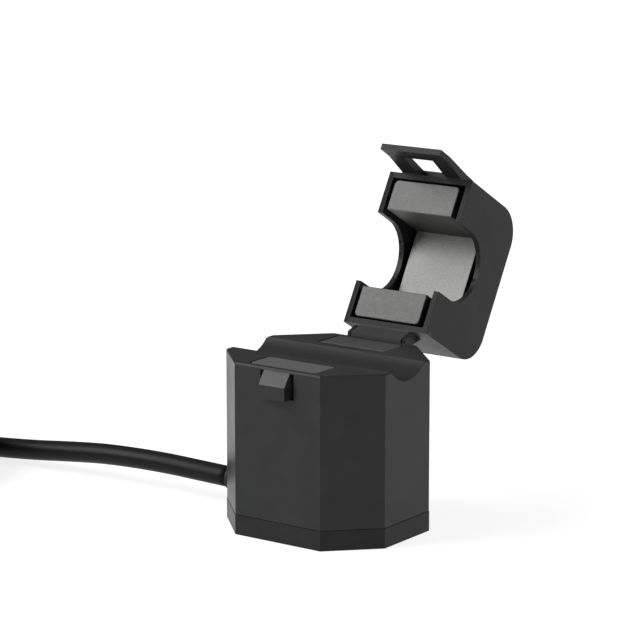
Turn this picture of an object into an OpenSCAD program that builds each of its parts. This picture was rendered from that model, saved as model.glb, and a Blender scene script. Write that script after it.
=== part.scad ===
/* [Housing] */
// Depth of the housing from latch face to hinge face
body_w = 23; // [22.5:0.1:23.5]
// Width of the housing along the conductor axis
body_d = 26.6; // [26.2:0.1:27]
// Leg length of the four upright corner chamfers
corner = 6.2; // [6:0.1:6.4]
// Height of the housing, from the standing surface to the pole plane
body_h = 24; // [23.8:0.1:24.2]
// Wall thickness of the housing
wall = 1.1; // [1:0.05:1.2]
// Height of the base cap
cap_h = 2.8; // [2.6:0.1:3]
// Bevel along the upper rim of the housing
rim_bevel = 0.2; // [0.15:0.05:0.5]

/* [Aperture] */
// Radius of the round opening for the conductor
bore_r = 5.2; // [5:0.1:5.3]
// Height of the opening's axis above the pole plane
bore_up = 3.35; // [3.2:0.05:3.5]

/* [Core] */
// Width of both cores along the conductor axis
core_x = 10.9; // [10.8:0.1:11.4]
// Half the outer length of both cores
core_y = 10.35; // [10.2:0.05:10.35]
// Thickness of each core leg
leg_t = 4.5; // [4.2:0.1:4.6]
// Thickness of each core yoke
yoke_t = 4.1; // [3.9:0.1:4.2]
// Depth of the lower core's window
lower_window = 10.5; // [10.4:0.1:10.6]
// Depth of the upper core's window
upper_window = 8.8; // [8.7:0.05:8.85]
// Outer corner radius of both cores
core_r = 3.2; // [3:0.1:3.4]
// Radius of the cores' upright edges
core_edge = 0.7; // [0.5:0.1:0.8]

/* [Lid] */
// Depth of the lid above its pole plane
lid_h = 14.4; // [14.3:0.05:14.6]
// Width of the lid along the conductor axis
lid_x = 14; // [13.9:0.1:14.1]
// Radius of the lid's two outer corners
lid_r = 4.5; // [4.2:0.1:4.6]
// Gap left between the two pole planes when the lid is shut
pole_gap = 0.1; // [0.05:0.05:0.15]
// Angle of the lid as it stands open
open_angle = 120; // [90:5:120]

/* [Latch] */
// Half width of the catch on the front face
catch_half = 2.15; // [2:0.05:2.2]
// How far the catch stands out
catch_out = 1.3; // [1.2:0.05:1.35]
// Depth of the catch's underside below the pole plane
catch_low = 3.95; // [3.85:0.05:4]
// Half width of the latch loop
loop_half = 5; // [4.8:0.1:5.2]
// Half width of the loop's window
window_half = 2.4; // [2.35:0.05:2.7]
// How far the window reaches past the pole plane
window_low = 4.25; // [4.25:0.05:4.4]

/* [Hinge] */
// Distance of the hinge axis behind the housing
hinge_out = 1.4; // [1.4:0.02:1.44]
// Radius of the hinge knuckles
knuckle_r = 0.75; // [0.7:0.05:0.75]
// Diameter of the hinge pin
pin_d = 0.7; // [0.6:0.05:0.7]
// Half width of the lid's knuckle
lid_knuckle = 4.2; // [3.8:0.1:4.2]
// Half width of the whole hinge
hinge_half = 4.9; // [4.85:0.05:5.1]

/* [Lead] */
// Outer diameter of the two-core cable
cable_d = 3; // [2.9:0.1:3]
// Height of the cable where it leaves the housing
cable_z = 4; // [4:0.1:4.2]
// Outer diameter of one insulated conductor
conductor_d = 1; // [0.9:0.05:1]
// Radius of the middle turn of the coiled length
coil_r = 16.5; // [16.5:0.5:18]

/* [Hidden] */
$fn = 64;
e = 0.01;

inner_x = body_d / 2 - wall;
inner_y = body_w / 2 - wall;
hinge_y = body_w / 2 + hinge_out;
hinge_z = body_h + 0.05;
lid_z = body_h + pole_gap;
leg_in = core_y - leg_t;
yoke_z = body_h - lower_window - yoke_t;      // underside of the lower core
split_z = yoke_z + yoke_t / 2;                 // where the two bobbin halves meet
tube_x = core_x / 2 + 0.1;                     // half width of the bobbin's hole
tube_t = 0.6;
flange_x = 9.6;
flange_t = 0.8;
flange_y = leg_in - 0.1;
flange_lo = yoke_z - 3.8;
flange_hi = yoke_z + yoke_t + 4;
wind_x = 9.1;
board_z = 2.1;
board_t = 0.8;
gland_end = -16.6;
cap_floor = 1.3;

// The cable's route from the gland to the coil, standing on z = 0
route = [[-16.6, 0, 4], [-22, 0, 4.1], [-28, 0, 4.2], [-34, 0, 4.1], [-40, 0, 3.8], [-46, 0, 3.2],
         [-52, 0, 2.5], [-57, 0, 2], [-62, 0, 1.6], [-66, 0, 1.5], [-70, 0, 1.6], [-73, 0, 1.8]];
coil_c = [-76, -19.5];
tie_t = 0.4;                                   // strap thickness of the tie under and round the coil

// octagonal outline of the housing, pulled in by t on every side
module octagon(t = 0) {
    x = body_d / 2 - t;
    y = body_w / 2 - t;
    c = corner - t * (2 - sqrt(2));
    polygon([[-x + c, -y], [x - c, -y], [x, -y + c], [x, y - c], [x - c, y], [-x + c, y], [-x, y - c], [-x, -y + c]]);
}

// bar along X with a Y-Z outline
module along_x(half) {
    rotate([90, 0, 90]) translate([0, 0, -half]) linear_extrude(2 * half) children();
}

// rod along X
module rod_x(r, x0, x1) {
    translate([x0, 0, 0]) rotate([0, 90, 0]) cylinder(r = r, h = x1 - x0);
}

// wedges that bevel the rim all round at height z
module rim_cut(z, b) {
    x = body_d / 2;
    y = body_w / 2;
    for (m = [0, 1]) mirror([m, 0, 0]) for (n = [0, 1]) mirror([0, n, 0]) {
        // the wedge faces are one per straight side
        translate([x, 0, z]) rotate([0, 45, 0]) cube([b * sqrt(2), 60, b * sqrt(2)], center = true);
        translate([0, y, z]) rotate([45, 0, 0]) cube([60, b * sqrt(2), b * sqrt(2)], center = true);
        translate([x - corner / 2, y - corner / 2, z]) rotate([0, 0, 45]) rotate([0, 45, 0])
            cube([b * sqrt(2), 60, b * sqrt(2)], center = true);
    }
}

// U core: legs of length leg along +Z from the pole plane at z = 0, the yoke beyond them
module u_core(window) {
    h = window + yoke_t;
    intersection() {
        along_x(core_x / 2) difference() {
            union() {
                translate([-core_y, 0]) square([2 * core_y, h - core_r]);
                translate([-core_y + core_r, 0]) square([2 * (core_y - core_r), h]);
                for (s = [-1, 1]) translate([s * (core_y - core_r), h - core_r]) circle(core_r);
            }
            translate([-leg_in, -1]) square([2 * leg_in, window + 1]);
        }
        // the legs' rounded upright edges
        translate([0, 0, -1]) linear_extrude(h + 2) block_outline(core_x / 2, core_y, core_edge);
    }
}

// puts a lid part, drawn shut, where the open lid stands
module lid_pose() {
    translate([0, hinge_y, hinge_z]) rotate([-open_angle, 0, 0]) translate([0, -hinge_y, -hinge_z]) children();
}

// ear that holds the pin, flat on top and in line with the open lid's web
module hinge_bracket(x0, x1) {
    translate([(x0 + x1) / 2, hinge_y, hinge_z]) along_x((x1 - x0) / 2)
        polygon([[-hinge_out - 0.5, -3.6], [-hinge_out + 0.1, -3.6], [knuckle_r + 0.1, -0.7], [knuckle_r + 0.1, 0.3], [0.5, 1.02],
                 [-hinge_out + 0.2, 0.42], [-hinge_out + 0.1, -0.45], [-hinge_out - 0.5, -0.45]]);
}

module housing() {
    color([0.17, 0.17, 0.18]) difference() {
        union() {
            difference() {
                translate([0, 0, cap_h]) linear_extrude(body_h - cap_h) octagon();
                translate([0, 0, cap_h - 1]) linear_extrude(body_h - wall - cap_h + 1) octagon(wall);
                rim_cut(body_h, rim_bevel);
            }
            // underside of the saddle
            intersection() {
                translate([0, 0, cap_h]) linear_extrude(body_h - cap_h - 0.4) octagon(0.2);
                translate([0, 0, body_h + bore_up]) rod_x(bore_r + wall, -body_d / 2, body_d / 2);
            }
            // ribs that guide the core legs
            for (s = [-1, 1]) for (t = [-1, 1])
                translate([s * (core_x / 2 + 0.8) - 0.5, t > 0 ? leg_in + 0.7 : -inner_y - 0.2, flange_hi + 0.5])
                    cube([1, inner_y - leg_in - 0.5, body_h - wall - flange_hi - 0.4]);
            // catch for the latch loop
            along_x(catch_half) polygon([[-body_w / 2 + 0.4, body_h - 0.3], [-body_w / 2, body_h - 0.3],
                [-body_w / 2 - catch_out, body_h - 2.1], [-body_w / 2 - catch_out, body_h - catch_low],
                [-body_w / 2, body_h - catch_low], [-body_w / 2 + 0.4, body_h - catch_low]]);
            hinge_bracket(lid_knuckle + 0.12, hinge_half);
            hinge_bracket(-hinge_half, -lid_knuckle - 0.12);
        }
        // saddle
        translate([0, 0, body_h + bore_up]) rod_x(bore_r, -body_d, body_d);
        // openings for the pole faces
        for (s = [-1, 1]) translate([0, s * (leg_in - 0.2 + inner_y) / 2, body_h - 2])
            cube([core_x + 0.5, inner_y - leg_in + 0.2, 8], center = true);
        // hinge pin hole, open on the left only
        translate([0, hinge_y, hinge_z]) rod_x(pin_d / 2 + 0.01, -hinge_half - 1, hinge_half - 0.15);
        // slots beside the catch
        for (s = [-1, 1]) translate([s * (catch_half + 0.3) - 0.3, -body_w / 2 - 1, body_h - catch_low]) cube([0.6, 1.8, catch_low - 0.4]);
        // seat of the cable gland
        translate([0, 0, cable_z]) rod_x(2.15, -body_d, -inner_x + 3);
    }
}

module base_cap() {
    color([0.15, 0.15, 0.16]) difference() {
        union() {
            difference() {
                linear_extrude(cap_h - 0.05) octagon(-0.05);
                translate([0, 0, cap_floor]) linear_extrude(cap_h) octagon(wall + 0.05);
            }
            // spigot inside the housing
            difference() {
                translate([0, 0, cap_h - 0.06]) linear_extrude(1.6) octagon(wall + 0.05);
                translate([0, 0, cap_h - 1]) linear_extrude(4) octagon(wall + 0.85);
            }
            difference() {
                translate([0, 0, cap_floor]) linear_extrude(cap_h - cap_floor) octagon(wall + 0.04);
                translate([0, 0, cap_floor - 1]) linear_extrude(4) octagon(wall + 0.85);
            }
            // pillars that carry the core
            for (s = [-1, 1]) translate([-4, s * 6.5 - 0.6, cap_floor - e]) cube([8, 1.2, yoke_z - 0.65 - cap_floor]);
            // posts under the circuit board
            for (x = [-6.6, 6.6]) for (y = [-4.6, 4.6]) translate([x, y, cap_floor - e]) cylinder(d = 1.4, h = board_z - cap_floor, $fn = 24);
        }
        // seat of the cable gland
        translate([0, 0, cable_z]) rod_x(2.15, -body_d, -inner_x + 0.1);
        // clearance for the gland's inner flange and the cable
        translate([-inner_x - e, -3, cap_floor]) cube([3.4, 6, 8]);
    }
}

module lower_core() {
    color([0.50, 0.50, 0.49]) translate([0, 0, body_h]) mirror([0, 0, 1]) u_core(lower_window);
}

module upper_core() {
    color([0.50, 0.50, 0.49]) lid_pose() translate([-0.2, 0, lid_z]) u_core(upper_window);
}

// one half of the coil former, above the parting plane
module former(depth, reach) {
    difference() {
        union() {
            translate([-tube_x - tube_t, -flange_y, 0]) cube([2 * (tube_x + tube_t), 2 * flange_y, depth + tube_t]);
            for (s = [-1, 1]) translate([0, s * (flange_y - flange_t / 2), 0]) rotate([90, 0, 0])
                translate([0, 0, -flange_t / 2]) linear_extrude(flange_t) {
                    translate([-flange_x, 0]) square([2 * flange_x, reach - 1.5]);
                    translate([-flange_x + 1.5, 0]) square([2 * flange_x - 3, reach]);
                    for (m = [-1, 1]) translate([m * (flange_x - 1.5), reach - 1.5]) circle(1.5, $fn = 32);
                }
        }
        translate([-tube_x, -flange_y - 1, -1]) cube([2 * tube_x, 2 * flange_y + 2, depth + 1]);
    }
}

module bobbin_upper() {
    color([0.86, 0.84, 0.76]) translate([0, 0, split_z + 0.02]) former(yoke_t / 2 + 0.1, flange_hi - split_z);
}

module bobbin_lower() {
    color([0.86, 0.84, 0.76]) difference() {
        translate([0, 0, split_z - 0.02]) mirror([0, 0, 1]) former(yoke_t / 2 + 0.1, split_z - flange_lo);
        for (x = [5.4, 8]) translate([x, -flange_y + flange_t / 2, flange_lo - 1]) cylinder(d = 0.42, h = 3, $fn = 24);
    }
}

module block_hole(x, z0, z1, r) {
    translate([-x, z0 + r]) square([2 * x, z1 - z0 - 2 * r]);
    translate([-x + r, z0]) square([2 * x - 2 * r, z1 - z0]);
    for (s = [-1, 1]) for (z = [z0 + r, z1 - r]) translate([s * (x - r), z]) circle(r, $fn = 48);
}

module secondary_winding() {
    color([0.72, 0.38, 0.2]) rotate([90, 0, 0]) translate([0, 0, -flange_y + flange_t + 0.05])
        linear_extrude(2 * (flange_y - flange_t - 0.05)) difference() {
            block_hole(wind_x, flange_lo + 0.5, flange_hi - 0.5, 2.6);
            translate([-tube_x - tube_t - 0.02, yoke_z - 0.1 - tube_t - 0.02])
                square([2 * (tube_x + tube_t + 0.02), yoke_t + 0.2 + 2 * tube_t + 0.04]);
        }
}

module winding_tape() {
    color([0.88, 0.74, 0.22]) rotate([90, 0, 0]) translate([0, 0, -flange_y + flange_t + 0.1])
        linear_extrude(2 * (flange_y - flange_t - 0.1)) difference() {
            block_hole(wind_x + 0.17, flange_lo + 0.33, flange_hi - 0.33, 2.77);
            block_hole(wind_x + 0.02, flange_lo + 0.48, flange_hi - 0.48, 2.62);
        }
}

// each pin has a collar that stops it under the former
module terminal_pins() {
    color([0.85, 0.83, 0.78]) for (x = [5.4, 8]) translate([x, -flange_y + flange_t / 2, 0]) {
        translate([0, 0, board_z - 0.6]) cylinder(d = 0.4, h = flange_lo + 1.9 - board_z + 0.6, $fn = 24);
    }
}

module circuit_board() {
    color([0.05, 0.33, 0.2]) difference() {
        translate([-8, -5.75, board_z]) cube([17, 11.5, board_t]);
        for (x = [5.4, 8]) translate([x, -flange_y + flange_t / 2, 0]) cylinder(d = 0.5, h = 5, $fn = 24);
        for (y = [-0.7, 0.7]) translate([-6, y, 0]) cylinder(d = 1.1, h = 5, $fn = 24);
    }
}

module burden_resistor() {
    color([0.2, 0.2, 0.22]) translate([0.6, -3.4, board_z + board_t + 0.02]) cube([3.2, 6.4, 0.6]);
}

module suppressor_diode() {
    color([0.12, 0.12, 0.13]) translate([-3, -2.3, board_z + board_t + 0.02]) {
        translate([0, 0, 0.1]) cube([2.6, 4.2, 1.8]);
        translate([0.6, -0.5, 0]) cube([1.4, 5.2, 0.3]);
    }
}

module core_pads() {
    color([0.3, 0.3, 0.32]) for (s = [-1, 1]) translate([-4, s * 6.5 - 0.6, yoke_z - 0.63]) cube([8, 1.2, 0.6]);
}

// conductor from the sheath's end, round a bend of radius 1.2 and down through the board
module inner_lead(y) {
    translate([-9.98, y, cable_z]) rotate([0, 90, 0]) cylinder(d = conductor_d, h = 2.78, $fn = 24);
    translate([-7.2, y, cable_z - 1.2]) rotate([90, 0, 0]) rotate_extrude(angle = 90, $fn = 48) translate([1.2, 0]) circle(d = conductor_d, $fn = 24);
    translate([-6, y, board_z - 0.2]) cylinder(d = conductor_d, h = cable_z - 1.2 - board_z + 0.2, $fn = 24);
}

module inner_lead_white() {
    color([0.9, 0.9, 0.88]) inner_lead(-0.7);
}

module inner_lead_black() {
    color([0.1, 0.1, 0.1]) inner_lead(0.7);
}

module cable_gland() {
    color([0.1, 0.1, 0.1]) translate([0, 0, cable_z]) rotate([0, -90, 0]) rotate_extrude()
        polygon([[cable_d / 2 + 0.02, inner_x - 0.85], [2.6, inner_x - 0.85], [2.6, inner_x - 0.05], [2.1, inner_x - 0.05],
                 [2.1, body_d / 2 + 0.12], [2.5, body_d / 2 + 0.12], [2.5, body_d / 2 + 0.75], [2.2, body_d / 2 + 1.05],
                 [1.95, body_d / 2 + 1.25], [1.75, -gland_end], [cable_d / 2 + 0.02, -gland_end]]);
}

module cable_inner_end() {
    color([0.1, 0.1, 0.11]) translate([0, 0, cable_z]) rod_x(cable_d / 2, gland_end, -10);
}

module hinge_pin() {
    color([0.7, 0.7, 0.72]) translate([0, hinge_y, hinge_z]) rod_x(pin_d / 2, -hinge_half + 0.1, hinge_half - 0.2);
}

module lid() {
    y = body_w / 2;
    color([0.17, 0.17, 0.18]) lid_pose() difference() {
        union() {
            // shell
            translate([0, 0, lid_z]) along_x(lid_x / 2) {
                translate([-y, 0]) square([2 * y, lid_h - lid_r]);
                translate([-y + lid_r, 0]) square([2 * (y - lid_r), lid_h]);
                for (s = [-1, 1]) translate([s * (y - lid_r), lid_h - lid_r]) circle(lid_r);
            }
            // latch loop
            translate([0, 0, lid_z]) along_x(loop_half) polygon([[-y + 0.3, 0.25], [-y - 0.12, 0], [-y - 0.8, -4.2], [-y - 0.84, -6.75],
                [-y - 1.7, -6.75], [-y - 1.68, -4.2], [-y - 1.15, 1.2], [-y - 1.08, 3], [-y + 0.3, 4.6]]);
            // hinge knuckle with its web and open stop
            translate([0, hinge_y, hinge_z]) rod_x(knuckle_r, -lid_knuckle, lid_knuckle);
            along_x(lid_knuckle) polygon([[y - 0.3, lid_z + 0.02], [hinge_y, hinge_z + 0.07], [hinge_y + 0.6, hinge_z + 0.2], [hinge_y + 0.7, hinge_z + 1],
                [y + 0.1, lid_z + 3.2], [y - 0.3, lid_z + 3.2]]);
            // flat web over the knuckle, and the heel that meets the housing's back wall when the lid is open
            translate([0, hinge_y, hinge_z]) rotate([open_angle, 0, 0]) along_x(lid_knuckle)
                polygon([[-hinge_out + 0.05, 0.2], [-hinge_out + 0.05, -0.9], [0.1, -0.9], [0.6, -0.3], [1.3, 0.6], [1.3, 1.245], [-hinge_out + 0.12, 0.45]]);
        }
        // pocket for the core
        translate([0, 0, lid_z]) along_x(lid_x / 2 - 0.8) {
            cy = core_y + 0.3;
            ch = upper_window + yoke_t + 0.4;
            cr = core_r + 0.3;
            translate([-cy, -1]) square([2 * cy, ch - cr + 1]);
            translate([-cy + cr, -1]) square([2 * (cy - cr), ch + 1]);
            for (s = [-1, 1]) translate([s * (cy - cr), ch - cr]) circle(cr);
        }
        // opening for the conductor
        translate([0, 0, body_h + bore_up]) rod_x(bore_r, -lid_x, lid_x);
        translate([-lid_x, -bore_r, body_h - 1]) cube([2 * lid_x, 2 * bore_r, bore_up + 1]);
        // window of the latch loop
        translate([-window_half, -y - 3, lid_z - window_low]) cube([2 * window_half, 3 - e, window_low + 1.3]);
        // hinge pin hole
        translate([0, hinge_y, hinge_z]) rod_x(pin_d / 2 + 0.05, -lid_knuckle - 1, lid_knuckle + 1);
    }
}

module core_spring() {
    n = 12;
    color([0.78, 0.78, 0.8]) lid_pose() translate([0, 0, lid_z + upper_window + yoke_t + 0.03]) along_x(4) polygon(concat(
        [for (i = [0 : n]) [-6.5 + 13 * i / n, 0.18 * sin(180 * i / n)]],
        [for (i = [n : -1 : 0]) [-6.5 + 13 * i / n, 0.15 + 0.18 * sin(180 * i / n)]]));
}

// ring of points across the route at p, with s sides, heading along v
function ring(p, v, r, s) = let (u = v / norm(v), a = [-u[1], u[0], 0] / norm([u[0], u[1], 0]), b = cross(u, a))
    [for (k = [0 : s - 1]) p + r * (cos(360 * (k + 0.5) / s) * a + sin(360 * (k + 0.5) / s) * b)];

// tube swept along the points of p
module tube_along(p, r, s) {
    n = len(p);
    pts = [for (i = [0 : n - 1]) each ring(p[i], p[min(i + 1, n - 1)] - p[max(i - 1, 0)], r, s)];
    side = [for (i = [0 : n - 2]) for (k = [0 : s - 1])
        [i * s + k, i * s + (k + 1) % s, (i + 1) * s + (k + 1) % s, (i + 1) * s + k]];
    polyhedron(points = pts, faces = concat([[for (k = [s - 1 : -1 : 0]) k]], [[for (k = [0 : s - 1]) (n - 1) * s + k]], side), convexity = 4);
}

module cable() {
    color([0.1, 0.1, 0.11]) tube_along(route, cable_d / 2, 8);
}

// three layers of three turns, with the last turn stopping short
module cable_coil() {
    w = 1.5 * cable_d;
    h = 2 * w + tie_t;
    color([0.1, 0.1, 0.11]) translate([coil_c[0], coil_c[1], 0]) difference() {
        rotate_extrude($fn = 96) {
            translate([coil_r - w, 0.9]) square([2 * w, h - 1.8]);
            translate([coil_r - w + 0.9, 0]) square([2 * w - 1.8, h]);
            for (s = [-1, 1]) for (z = [0.9, h - 0.9]) translate([coil_r + s * (w - 0.9), z]) circle(0.9, $fn = 24);
        }
        rotate([0, 0, 200]) rotate_extrude(angle = 128, $fn = 96) translate([coil_r - w - 1, h - cable_d]) square([cable_d + 1, cable_d + 1]);
    }
}

// strap round the coil's section, with its head on top
module coil_tie() {
    w = 1.5 * cable_d;
    h = 2 * w + 2 * tie_t;
    color([0.1, 0.1, 0.11]) translate([coil_c[0], coil_c[1], 0]) rotate([0, 0, 140]) rotate([90, 0, 0]) translate([0, 0, -1.25]) {
        linear_extrude(2.5) difference() {
            translate([coil_r, h / 2]) block_outline(w + tie_t, h / 2, 1.2);
            translate([coil_r, h / 2]) block_outline(w, h / 2 - tie_t, 0.8);
        }
        translate([coil_r - 1.5, h - 0.2, -0.7]) linear_extrude(3.9) square([3, 2.2]);
    }
}

module block_outline(x, z, r) {
    translate([-x, -z + r]) square([2 * x, 2 * z - 2 * r]);
    translate([-x + r, -z]) square([2 * x - 2 * r, 2 * z]);
    for (s = [-1, 1]) for (t = [-1, 1]) translate([s * (x - r), t * (z - r)]) circle(r, $fn = 32);
}

// conductor lying on the middle layer of the coil, inside the top one
module lead_arc(r, d, a0, a1) {
    translate([coil_c[0], coil_c[1], 6.02 + tie_t + d / 2]) rotate([0, 0, a0]) rotate_extrude(angle = a1 - a0, $fn = 96) translate([r, 0]) circle(d = d, $fn = 24);
}

module lead_white() {
    color([0.9, 0.9, 0.88]) lead_arc(coil_r - 3.6, conductor_d, 200.1, 302);
}

module lead_black() {
    color([0.1, 0.1, 0.1]) lead_arc(coil_r - 2.35, conductor_d, 200.1, 302);
}

module lead_tips() {
    color([0.8, 0.8, 0.82]) for (r = [3.6, 2.35]) translate([0, 0, 0.15]) lead_arc(coil_r - r, conductor_d - 0.3, 302.1, 324);
}

housing();
base_cap();
lower_core();
bobbin_upper();
bobbin_lower();
secondary_winding();
winding_tape();
terminal_pins();
circuit_board();
burden_resistor();
suppressor_diode();
core_pads();
inner_lead_white();
inner_lead_black();
cable_gland();
cable_inner_end();
hinge_pin();
lid();
upper_core();
core_spring();
cable();
cable_coil();
coil_tie();
lead_white();
lead_black();
lead_tips();
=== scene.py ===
import math

import bmesh
import bpy
from mathutils import Matrix, Vector


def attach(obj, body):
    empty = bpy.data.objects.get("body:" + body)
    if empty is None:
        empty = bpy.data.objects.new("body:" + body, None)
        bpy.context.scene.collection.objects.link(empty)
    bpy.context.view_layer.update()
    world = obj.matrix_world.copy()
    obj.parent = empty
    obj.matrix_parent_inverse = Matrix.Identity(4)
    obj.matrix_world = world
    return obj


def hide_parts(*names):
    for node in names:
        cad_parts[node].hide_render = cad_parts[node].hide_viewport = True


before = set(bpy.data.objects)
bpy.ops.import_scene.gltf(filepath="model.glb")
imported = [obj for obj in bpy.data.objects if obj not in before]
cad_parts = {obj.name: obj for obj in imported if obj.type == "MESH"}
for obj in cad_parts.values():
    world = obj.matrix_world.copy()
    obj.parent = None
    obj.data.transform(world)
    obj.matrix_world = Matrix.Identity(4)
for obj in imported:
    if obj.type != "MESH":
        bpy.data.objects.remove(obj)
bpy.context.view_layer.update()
scene = bpy.context.scene
MM = 0.001

# ---------------------------------------------------------------- camera
cam_data = bpy.data.cameras.new("camera")
cam = bpy.data.objects.new("camera", cam_data)
scene.collection.objects.link(cam)
forward = Vector((-0.572704, 0.792289, -0.210445))
up = Vector((-0.123284, 0.170553, 0.977606))
right = forward.cross(up).normalized()
up = right.cross(forward).normalized()
cam.matrix_world = Matrix((
    (right.x, up.x, -forward.x, 0.232744),
    (right.y, up.y, -forward.y, -0.323678),
    (right.z, up.z, -forward.z, 0.114543),
    (0, 0, 0, 1)))
cam_data.sensor_width = 36
cam_data.lens = 168.75
cam_data.clip_start = 0.01
cam_data.clip_end = 20
scene.camera = cam


# ---------------------------------------------------------------- the lead
def smooth_line(points, step):
    """Catmull-Rom line through the points, with a point about every step."""
    p = [Vector(q) for q in points]
    p = [p[0] * 2 - p[1]] + p + [p[-1] * 2 - p[-2]]
    out = []
    for i in range(1, len(p) - 2):
        n = max(2, int(round((p[i + 1] - p[i]).length / step)))
        for k in range(n):
            t = k / n
            a, b, c, d = p[i - 1], p[i], p[i + 1], p[i + 2]
            out.append(0.5 * ((2 * b) + (c - a) * t + (2 * a - 5 * b + 4 * c - d) * t * t + (3 * b - a - 3 * c + d) * t ** 3))
    out.append(p[-2])
    return out


CABLE_D = 3.0
COIL_C = (-76.0, -19.5)
COIL_R = 16.5
TIE = 0.4
route = [(-16.6, 0, 4), (-22, 0, 4.1), (-28, 0, 4.2), (-34, 0, 4.1), (-40, 0, 3.8), (-46, 0, 3.2),
         (-52, 0, 2.5), (-57, 0, 2), (-62, 0, 1.6), (-66, 0, 1.5), (-70, 0, 1.6), (-73, 0, 1.8)]
line = smooth_line(route + [(-76, 0, 1.9)], 1.5)

# the coil: each entry is (radius, layer), joined by an eased step
turns = [(1, 0), (0, 0), (-1, 0), (-1, 1), (0, 1), (1, 1), (1, 2), (0, 2), (-1, 2)]
JOG0, JOG1 = 168.0, 375.0      # where each turn steps sideways or up, counted from where the lead comes in
END = 110.0                    # where the last turn stops
angle, out = 0.0, []
total = 360.0 * (len(turns) - 1) + END
step = 6.0
n = int(round(total / step))
for k in range(1, n + 1):
    phi = total * k / n
    # turn i spans from the end of one jog to the start of the next
    i = int((phi - JOG1) // 360) + 1 if phi >= JOG1 else 0
    i = min(i, len(turns) - 1)
    start = JOG1 + 360 * (i - 1)
    end = JOG0 + 360 * i
    r0, l0 = turns[i]
    radius, layer, bulge = COIL_R + CABLE_D * r0, float(l0), 0.0
    if phi > end and i + 1 < len(turns):
        t = (phi - end) / (JOG1 - JOG0)
        s = t - math.sin(2 * math.pi * t) / (2 * math.pi)
        r1, l1 = turns[i + 1]
        radius += CABLE_D * (r1 - r0) * s
        layer += (l1 - l0) * s
        if l1 != l0:
            radius += r0 * 1.3 * math.sin(math.pi * t) ** 2
    a = math.radians(90 + phi)
    line.append(Vector((COIL_C[0] + radius * math.cos(a), COIL_C[1] + radius * math.sin(a), TIE + CABLE_D / 2 + CABLE_D * layer)))


def tube_mesh(name, points, diameter, sides=18):
    """Round tube along the points, its rings kept upright, closed at both ends."""
    bm = bmesh.new()
    rings = []
    for i, p in enumerate(points):
        v = (points[min(i + 1, len(points) - 1)] - points[max(i - 1, 0)]).normalized()
        side = Vector((-v.y, v.x, 0)).normalized()
        top = v.cross(side)
        rings.append([bm.verts.new((p + (side * math.cos(a) + top * math.sin(a)) * diameter / 2) * MM)
                      for a in (2 * math.pi * k / sides for k in range(sides))])
    for a, b in zip(rings, rings[1:]):
        for k in range(sides):
            bm.faces.new((a[k], a[(k + 1) % sides], b[(k + 1) % sides], b[k])).smooth = True
    bm.faces.new(list(reversed(rings[0])))
    bm.faces.new(rings[-1])
    bmesh.ops.recalc_face_normals(bm, faces=bm.faces)
    mesh = bpy.data.meshes.new(name)
    bm.to_mesh(mesh)
    bm.free()
    obj = bpy.data.objects.new(name, mesh)
    scene.collection.objects.link(obj)
    return obj


lead = tube_mesh("lead_cable", line, CABLE_D)
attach(lead, "base")
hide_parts("cable", "cable_coil")


# ---------------------------------------------------------------- materials
def material(name):
    m = bpy.data.materials.new(name)
    m.use_nodes = True
    nt = m.node_tree
    nt.nodes.clear()
    out_node = nt.nodes.new("ShaderNodeOutputMaterial")
    shader = nt.nodes.new("ShaderNodeBsdfPrincipled")
    nt.links.new(shader.outputs[0], out_node.inputs[0])
    return m, nt, shader


def noise(nt, scale, detail=4.0, rough=0.55, vector=None, distortion=0.0):
    n = nt.nodes.new("ShaderNodeTexNoise")
    n.inputs["Scale"].default_value = scale
    n.inputs["Detail"].default_value = detail
    n.inputs["Roughness"].default_value = rough
    n.inputs["Distortion"].default_value = distortion
    nt.links.new(vector or coords(nt), n.inputs["Vector"])
    return n.outputs["Fac"]


def coords(nt):
    for n in nt.nodes:
        if n.type == "TEX_COORD":
            return n.outputs["Object"]
    return nt.nodes.new("ShaderNodeTexCoord").outputs["Object"]


def stretched(nt, scale):
    m = nt.nodes.new("ShaderNodeMapping")
    m.inputs["Scale"].default_value = scale
    nt.links.new(coords(nt), m.inputs["Vector"])
    return m.outputs[0]


def ramp(nt, fac, stops):
    r = nt.nodes.new("ShaderNodeValToRGB")
    while len(r.color_ramp.elements) < len(stops):
        r.color_ramp.elements.new(0.5)
    for el, (pos, col) in zip(r.color_ramp.elements, stops):
        el.position = pos
        el.color = (*col, 1) if len(col) == 3 else col
    nt.links.new(fac, r.inputs[0])
    return r.outputs[0]


def span(nt, fac, lo, hi, f0=0.3, f1=0.7):
    r = nt.nodes.new("ShaderNodeMapRange")
    r.inputs["From Min"].default_value = f0
    r.inputs["From Max"].default_value = f1
    r.inputs["To Min"].default_value = lo
    r.inputs["To Max"].default_value = hi
    nt.links.new(fac, r.inputs["Value"])
    return r.outputs[0]


def maths(nt, op, a, b):
    m = nt.nodes.new("ShaderNodeMath")
    m.operation = op
    for socket, v in zip(m.inputs, (a, b)):
        if isinstance(v, (int, float)):
            socket.default_value = v
        else:
            nt.links.new(v, socket)
    return m.outputs[0]


def mix(nt, fac, a, b):
    m = nt.nodes.new("ShaderNodeMix")
    m.data_type = "RGBA"
    for name, v in (("Factor", fac), ("A", a), ("B", b)):
        sock = [s for s in m.inputs if s.name == name and (s.type == "RGBA" if name != "Factor" else s.type == "VALUE")][0]
        if isinstance(v, (int, float)):
            sock.default_value = v
        elif isinstance(v, tuple):
            sock.default_value = (*v, 1)
        else:
            nt.links.new(v, sock)
    return [s for s in m.outputs if s.type == "RGBA"][0]


def multiply(nt, a, b):
    m = nt.nodes.new("ShaderNodeVectorMath")
    m.operation = "MULTIPLY"
    nt.links.new(a, m.inputs[0])
    nt.links.new(b, m.inputs[1])
    return m.outputs[0]


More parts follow.
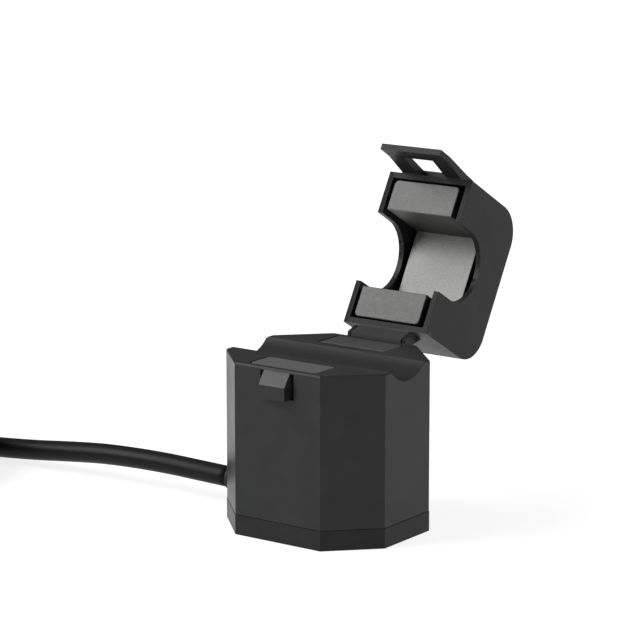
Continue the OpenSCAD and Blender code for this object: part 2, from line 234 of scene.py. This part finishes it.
def bump(nt, shader, height, strength, distance):
    b = nt.nodes.new("ShaderNodeBump")
    b.inputs["Strength"].default_value = strength
    b.inputs["Distance"].default_value = distance
    nt.links.new(height, b.inputs["Height"])
    nt.links.new(b.outputs[0], shader.inputs["Normal"])


def moulded(name, dark, light, rough_lo, rough_hi, specular=0.16, grain=4200, depth=0.000005):
    """Black moulded plastic: spark-eroded grain, slightly uneven gloss and tone."""
    m, nt, sh = material(name)
    nt.links.new(ramp(nt, noise(nt, 260, 3), [(0.3, dark), (0.7, light)]), sh.inputs["Base Color"])
    patches = noise(nt, 130, 2)
    fine = noise(nt, 2600, 3)
    nt.links.new(span(nt, maths(nt, "ADD", maths(nt, "MULTIPLY", patches, 0.65), maths(nt, "MULTIPLY", fine, 0.35)), rough_lo, rough_hi), sh.inputs["Roughness"])
    sh.inputs["Specular IOR Level"].default_value = specular
    bump(nt, sh, noise(nt, grain, 2, 0.6), 0.5, depth)
    return m


case = moulded("case_plastic", (0.0185, 0.0187, 0.0191), (0.0235, 0.0237, 0.0242), 0.30, 0.40)
cap = moulded("cap_plastic", (0.0130, 0.0132, 0.0136), (0.0172, 0.0174, 0.0178), 0.34, 0.44, 0.13)


def shaded(m, places):
    """Painted shade, painted highlights and other tones, and gloss, on named places of a moulding: each entry is
    (mask, colour, added roughness).
    """
    nt = m.node_tree
    sh = [n for n in nt.nodes if n.type == "BSDF_PRINCIPLED"][0]
    colour = sh.inputs["Base Color"].links[0].from_socket
    rough = sh.inputs["Roughness"].links[0].from_socket
    for mask, tone, more in places:
        colour = mix(nt, mask, colour, tone)
        if more:
            rough = maths(nt, "ADD", rough, maths(nt, "MULTIPLY", mask, more))
    nt.links.new(colour, sh.inputs["Base Color"])
    nt.links.new(rough, sh.inputs["Roughness"])


def axes_of(nt, vector=None):
    n = nt.nodes.new("ShaderNodeSeparateXYZ")
    nt.links.new(vector or coords(nt), n.inputs[0])
    return n.outputs["X"], n.outputs["Y"], n.outputs["Z"]


def both(nt, *masks):
    out_mask = masks[0]
    for m in masks[1:]:
        out_mask = maths(nt, "MULTIPLY", out_mask, m)
    return out_mask


def shut_frame(nt):
    """Millimetres in the shut lid's frame: x along the conductor, y from latch to hinge, z from the pole plane inwards."""
    place = nt.nodes.new("ShaderNodeMapping")
    place.inputs["Scale"].default_value = (1000, 1000, 1000)
    place.inputs["Rotation"].default_value = (math.radians(120), 0, 0)
    place.inputs["Location"].default_value = (0, 40.178, 24.903)
    nt.links.new(coords(nt), place.inputs["Vector"])
    return place.outputs[0]


# the saddle is moulded matt and its colour darkened as painted shade in its trough, the catch's ramp is painted
# lighter as a painted highlight, and the hinge ears are darkened as painted shade
nt = case.node_tree
x, y, z = axes_of(nt)
side = maths(nt, "ABSOLUTE", x, 0)
bore = nt.nodes.new("ShaderNodeMapping")
bore.inputs["Scale"].default_value = (0, 1, 1)
bore.inputs["Location"].default_value = (0, 0, -0.02735)
nt.links.new(coords(nt), bore.inputs["Vector"])
bore_r = nt.nodes.new("ShaderNodeVectorMath")
bore_r.operation = "LENGTH"
nt.links.new(bore.outputs[0], bore_r.inputs[0])
shaded(case, [
    # painted shade: the saddle's trough darker; its added roughness is its matt moulding
    (span(nt, bore_r.outputs["Value"], 1, 0, 0.00525, 0.00529), (0.0150, 0.0152, 0.0155), 0.1),
    # painted highlight: the catch's ramp lighter where the key light glints on it
    (both(nt, span(nt, y, 1, 0, -0.0117, -0.0114), span(nt, side, 1, 0, 0.0021, 0.0022), span(nt, z, 0, 1, 0.0218, 0.0220)), (0.036, 0.036, 0.037), 0),
    # painted shade: the hinge ears darker
    (both(nt, span(nt, y, 0, 1, 0.0115, 0.0116), span(nt, side, 0, 1, 0.0041, 0.0042), span(nt, z, 0, 1, 0.0234, 0.0237)), (0.012, 0.0121, 0.0124), 0),
])
lid_mat = moulded("lid_plastic", (0.0135, 0.0137, 0.0142), (0.0185, 0.0187, 0.0193), 0.34, 0.44, 0.11)
# its rim is painted darker than its outside as painted shade, and its thin hinge web painted lighter as painted light
nt = lid_mat.node_tree
x, y, z = axes_of(nt)
xs, ys, zs = axes_of(nt, shut_frame(nt))
rim = span(nt, zs, 1, 0, 24.2, 24.3)
inboard = span(nt, ys, 0, 1, -11.7, -11.5)
web = both(nt, span(nt, y, 0, 1, 0.0105, 0.0106), span(nt, y, 1, 0, 0.0150, 0.0151), span(nt, z, 1, 0, 0.02525, 0.02535))
shaded(lid_mat, [
    # painted shade on the rim, deepest on its left side, only a little darker at the latch end
    (both(nt, rim, inboard), (0.0070, 0.0071, 0.0074), 0.05),
    (both(nt, rim, inboard, span(nt, xs, 1, 0, -6.4, -6.1)), (0.0030, 0.0031, 0.0033), 0.1),
    (both(nt, rim, span(nt, ys, 1, 0, -11.7, -11.5)), (0.0145, 0.0147, 0.0151), 0),
    # painted light: the hinge web lighter, its front edge lighter still so the shade in the gap under it is filled in
    (web, (0.041, 0.041, 0.0413), 0.1),
    (both(nt, web, span(nt, y, 1, 0, 0.01158, 0.01164)), (0.045, 0.045, 0.0453), 0.1),
])
gland_mat = moulded("gland_rubber", (0.01, 0.01, 0.01), (0.016, 0.016, 0.016), 0.42, 0.55)
tie_mat = moulded("tie_nylon", (0.014, 0.014, 0.014), (0.022, 0.022, 0.022), 0.35, 0.45)
black_part = moulded("component_black", (0.015, 0.015, 0.015), (0.025, 0.025, 0.025), 0.4, 0.55)
pad_mat = moulded("pad_rubber", (0.04, 0.04, 0.043), (0.06, 0.06, 0.065), 0.8, 0.95, 0.2, 3000, 0.00006)
bobbin_mat = moulded("bobbin_nylon", (0.62, 0.59, 0.5), (0.72, 0.69, 0.6), 0.35, 0.5)
white_wire = moulded("wire_white", (0.75, 0.75, 0.73), (0.85, 0.85, 0.83), 0.3, 0.4)
black_wire = moulded("wire_black", (0.012, 0.012, 0.012), (0.02, 0.02, 0.02), 0.28, 0.38)
sheath = moulded("cable_sheath", (0.0045, 0.0045, 0.005), (0.0075, 0.0075, 0.008), 0.34, 0.46, 0.1, 2500, 0.00003)


def ferrite(name, dark, light, lid=False):
    """Ferrite: speckled grey where it is ground or pressed bright, darker as fired on the sides, with painted shade
    inside the lid core's window, on one of its pole faces and on the lower core's rear half.
    """
    m, nt, sh = material(name)
    speck = noise(nt, 3600, 4, 0.75)
    cloud = noise(nt, 300, 3)
    tone = maths(nt, "ADD", maths(nt, "MULTIPLY", speck, 0.92), maths(nt, "MULTIPLY", cloud, 0.08))
    grey = ramp(nt, tone, [(0.35, dark), (0.65, light)])
    if lid:
        x, y, z = axes_of(nt, shut_frame(nt))
        depth = span(nt, z, 0, 1, 24.0, 34.0)
        # painted shade: the legs' inner faces darker the deeper they go into the window; the yoke's face lighter
        leg_shade_yoke_tone = ramp(nt, depth, [(0.022, (1, 1, 1)), (0.05, (0.5, 0.5, 0.48)), (0.60, (0.33, 0.33, 0.31)), (0.855, (0.26, 0.26, 0.24)), (0.886, (3.2, 3.2, 3.12))])
        # painted shade across the yoke's face, darker towards the latch side
        yoke_painted_shade = ramp(nt, span(nt, y, 0, 1, -6.0, 6.0), [(0.02, (0.5, 0.5, 0.49)), (0.3, (0.86, 0.86, 0.86)), (0.8, (1, 1, 1))])
        inner = maths(nt, "GREATER_THAN", z, 32.6)
        side = maths(nt, "ABSOLUTE", maths(nt, "ADD", x, 0.2), 0)
        fired = span(nt, side, 0, 1, 5.36, 5.44)
        grey = multiply(nt, grey, leg_shade_yoke_tone)
        # painted shade: the hinge-side pole face a little darker
        hinge_pole_shade = both(nt, span(nt, y, 0, 1, 3, 5), span(nt, z, 1, 0, 24.6, 24.8))
        grey = mix(nt, hinge_pole_shade, grey, multiply(nt, grey, ramp(nt, z, [(0, (0.85, 0.85, 0.84)), (1, (0.85, 0.85, 0.84))])))
        grey = mix(nt, inner, grey, multiply(nt, grey, yoke_painted_shade))
        grey = mix(nt, fired, grey, (0.012, 0.012, 0.012))
    else:
        # painted shade: the lower core's rear half darker, where the hinge web and the lid shade it
        grey = multiply(nt, grey, ramp(nt, span(nt, axes_of(nt)[1], 0, 1, -0.002, 0.002), [(0.0, (1, 1, 1)), (1.0, (0.52, 0.52, 0.52))]))
    nt.links.new(grey, sh.inputs["Base Color"])
    nt.links.new(span(nt, noise(nt, 2400, 3), 0.45, 0.55), sh.inputs["Roughness"])
    sh.inputs["Specular IOR Level"].default_value = 0.4
    bump(nt, sh, noise(nt, 3000, 4, 0.7, stretched(nt, (0.12, 1, 1))), 0.35, 0.000006)
    return m


ferrite_mat = ferrite("ferrite", (0.069, 0.070, 0.069), (0.092, 0.093, 0.092))
ferrite_lid_mat = ferrite("ferrite_lid", (0.077, 0.077, 0.0755), (0.102, 0.102, 0.100), lid=True)


def metal(name, dark, light, rough, stretch=(1, 1, 1)):
    m, nt, sh = material(name)
    nt.links.new(ramp(nt, noise(nt, 1500, 3, 0.6, stretched(nt, stretch)), [(0.3, dark), (0.7, light)]), sh.inputs["Base Color"])
    sh.inputs["Metallic"].default_value = 1.0
    nt.links.new(span(nt, noise(nt, 4000, 3, 0.6, stretched(nt, stretch)), rough - 0.05, rough + 0.08), sh.inputs["Roughness"])
    bump(nt, sh, noise(nt, 5000, 3, 0.6, stretched(nt, stretch)), 0.3, 0.000006)
    return m


tinned = metal("tinned_metal", (0.6, 0.6, 0.6), (0.78, 0.78, 0.78), 0.3)
pin_mat = metal("pin_steel", (0.045, 0.045, 0.05), (0.075, 0.075, 0.08), 0.38, (0.05, 1, 1))
spring_mat = metal("spring_steel", (0.5, 0.5, 0.52), (0.65, 0.65, 0.66), 0.28, (0.05, 1, 1))
copper = metal("enamelled_copper", (0.45, 0.16, 0.06), (0.68, 0.28, 0.12), 0.32, (1, 12, 1))
tape_mat = moulded("polyester_tape", (0.68, 0.5, 0.06), (0.76, 0.58, 0.09), 0.2, 0.3)
board_mat = moulded("board_green", (0.01, 0.09, 0.035), (0.015, 0.14, 0.055), 0.25, 0.35)

slots = {
    "housing": case, "base_cap": cap, "lid": lid_mat, "lower_core": ferrite_mat, "upper_core": ferrite_lid_mat,
    "bobbin_upper": bobbin_mat, "bobbin_lower": bobbin_mat, "secondary_winding": copper, "winding_tape": tape_mat,
    "terminal_pins": tinned, "circuit_board": board_mat, "burden_resistor": black_part, "suppressor_diode": black_part,
    "core_pads": pad_mat, "inner_lead_white": white_wire, "inner_lead_black": black_wire, "cable_gland": gland_mat,
    "cable_inner_end": sheath, "hinge_pin": pin_mat, "core_spring": spring_mat, "coil_tie": tie_mat,
    "lead_white": white_wire, "lead_black": black_wire, "lead_tips": tinned,
}
for node, mat in slots.items():
    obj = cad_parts[node]
    if not obj.data.materials:
        obj.data.materials.append(mat)
    for s in obj.material_slots:
        s.material = mat
lead.data.materials.append(sheath)


# ---------------------------------------------------------------- softened edges
def soften(node, width, segments=3, limit=28):
    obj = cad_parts[node]
    w = obj.modifiers.new("weld", "WELD")
    w.merge_threshold = 2e-6
    d = obj.modifiers.new("planar", "DECIMATE")
    d.decimate_type = "DISSOLVE"
    d.angle_limit = math.radians(3)
    b = obj.modifiers.new("edges", "BEVEL")
    b.width = width * MM
    b.segments = segments
    b.limit_method = "ANGLE"
    b.angle_limit = math.radians(limit)
    b.harden_normals = True
    b.use_clamp_overlap = True
    b.miter_outer = "MITER_ARC"
    b.face_strength_mode = "FSTR_ALL"
    n = obj.modifiers.new("faces", "WEIGHTED_NORMAL")
    n.mode = "FACE_AREA_WITH_ANGLE"
    n.use_face_influence = True
    n.keep_sharp = False


soften("housing", 0.14)
soften("base_cap", 0.12)
soften("lid", 0.14)
soften("lower_core", 0.12)
soften("upper_core", 0.14)

# ---------------------------------------------------------------- floor, world, lights
floor_mesh = bpy.data.meshes.new("floor")
floor_mesh.from_pydata([(-3, -3, 0), (3, -3, 0), (3, 3, 0), (-3, 3, 0)], [], [(0, 1, 2, 3)])
floor = bpy.data.objects.new("floor", floor_mesh)
floor.location.z = -0.00005
scene.collection.objects.link(floor)
# the floor glows: painted light from its emission, dimmer near the object and near white further out, over a dim grey
# colour
fm, fnt, fsh = material("floor_glowing_white")
fnt.links.new(ramp(fnt, noise(fnt, 3, 2), [(0.3, (0.30, 0.30, 0.30)), (0.7, (0.31, 0.31, 0.31))]), fsh.inputs["Base Color"])
fsh.inputs["Roughness"].default_value = 0.9
fsh.inputs["Specular IOR Level"].default_value = 0.0
reach = fnt.nodes.new("ShaderNodeVectorMath")
reach.operation = "LENGTH"
fnt.links.new(coords(fnt), reach.inputs[0])
fnt.links.new(ramp(fnt, span(fnt, reach.outputs["Value"], 0, 1, 0.1, 0.6), [(0.0, (0.80, 0.80, 0.80)), (1.0, (0.99, 0.99, 0.99))]), fsh.inputs["Emission Color"])
fsh.inputs["Emission Strength"].default_value = 1.0
floor_mesh.materials.append(fm)

# a dim studio with a lighter ceiling; white where the camera sees past the floor
world = bpy.data.worlds.new("studio")
scene.world = world
world.use_nodes = True
wnt = world.node_tree
bg = wnt.nodes["Background"]
sky = wnt.nodes.new("ShaderNodeTexCoord")
sky_axes = wnt.nodes.new("ShaderNodeSeparateXYZ")
wnt.links.new(sky.outputs["Generated"], sky_axes.inputs[0])
sky_tone = ramp(wnt, sky_axes.outputs["Z"], [(0.0, (0.04, 0.04, 0.04)), (0.28, (0.09, 0.09, 0.09)), (0.6, (0.35, 0.35, 0.35)), (1.0, (0.5, 0.5, 0.5))])
seen = wnt.nodes.new("ShaderNodeLightPath")
wnt.links.new(mix(wnt, seen.outputs["Is Camera Ray"], sky_tone, (1.0, 1.0, 1.0)), bg.inputs["Color"])
bg.inputs["Strength"].default_value = 1.0


def softbox(name, direction, distance, size, radiance):
    data = bpy.data.lights.new(name, "AREA")
    data.shape = "SQUARE"
    data.size = size
    data.energy = radiance * math.pi * size * size
    obj = bpy.data.objects.new(name, data)
    scene.collection.objects.link(obj)
    d = Vector(direction).normalized()
    obj.location = Vector((0, 0, 0.025)) + d * distance
    obj.rotation_euler = (-d).to_track_quat("-Z", "Y").to_euler()
    return obj


softbox("key", (-0.62, -0.55, 0.55), 0.55, 0.42, 7.0)
softbox("rim", (0.8, 0.42, 0.42), 0.55, 0.28, 4.6)

scene.view_settings.view_transform = "Standard"
scene.view_settings.look = "None"
